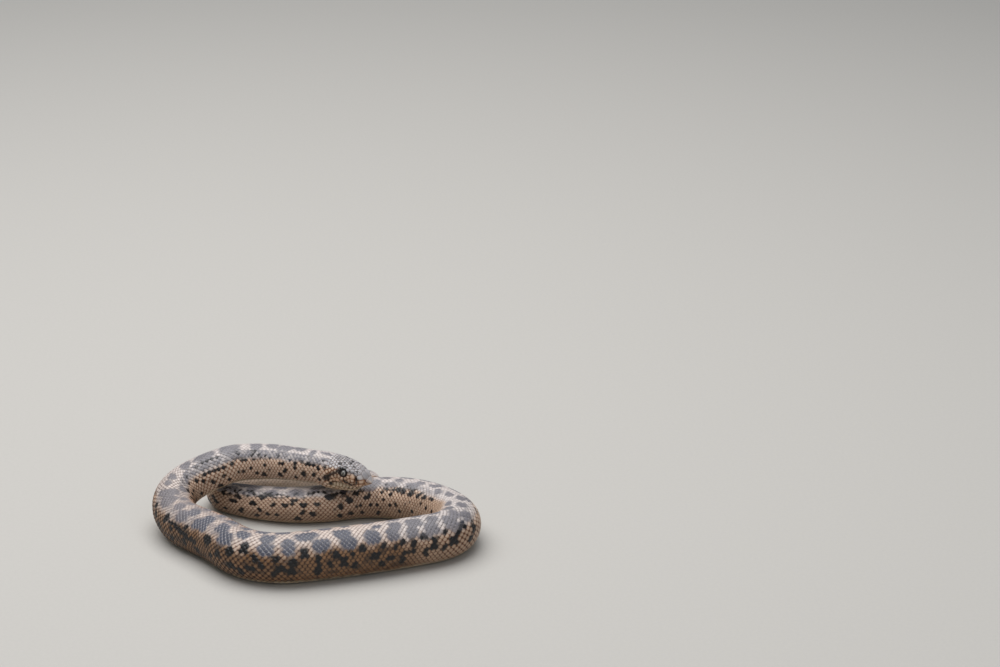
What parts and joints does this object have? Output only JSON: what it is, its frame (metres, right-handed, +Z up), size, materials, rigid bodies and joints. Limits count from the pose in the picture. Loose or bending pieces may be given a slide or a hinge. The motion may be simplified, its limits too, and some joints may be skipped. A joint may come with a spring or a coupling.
{
  "type": "coiled sand boa",
  "caption": "Life-size still model of a javelin sand boa in a flat oval coil, neck raised over the tail and head resting on the inner turn.",
  "frame": {"origin": "middle of the coil's bounding box, on the floor that the belly lies on", "axes": "+X along the long way of the oval coil, the way the snout points, +Y from the front of the coil to the tail behind it, +Z up"},
  "size_m": [0.0982, 0.0722, 0.0222],
  "materials": {
    "scales": "small smooth keratin scales, grey and pinkish buff above with dark blotches, tan flanks with near-black spots, cream belly",
    "eye": "wet clear spectacle over a pale silvery iris with an upright slit pupil"
  },
  "bodies": {
    "root": {"head": "scales", "eye_left": "eye", "eye_right": "eye", "neck": "scales", "torso_1": "scales", "torso_2": "scales", "torso_3": "scales", "torso_4": "scales", "torso_5": "scales", "torso_6": "scales", "torso_7": "scales", "torso_8": "scales", "torso_9": "scales", "torso_10": "scales", "torso_11": "scales", "torso_12": "scales", "tail": "scales"}
  },
  "joints": []
}
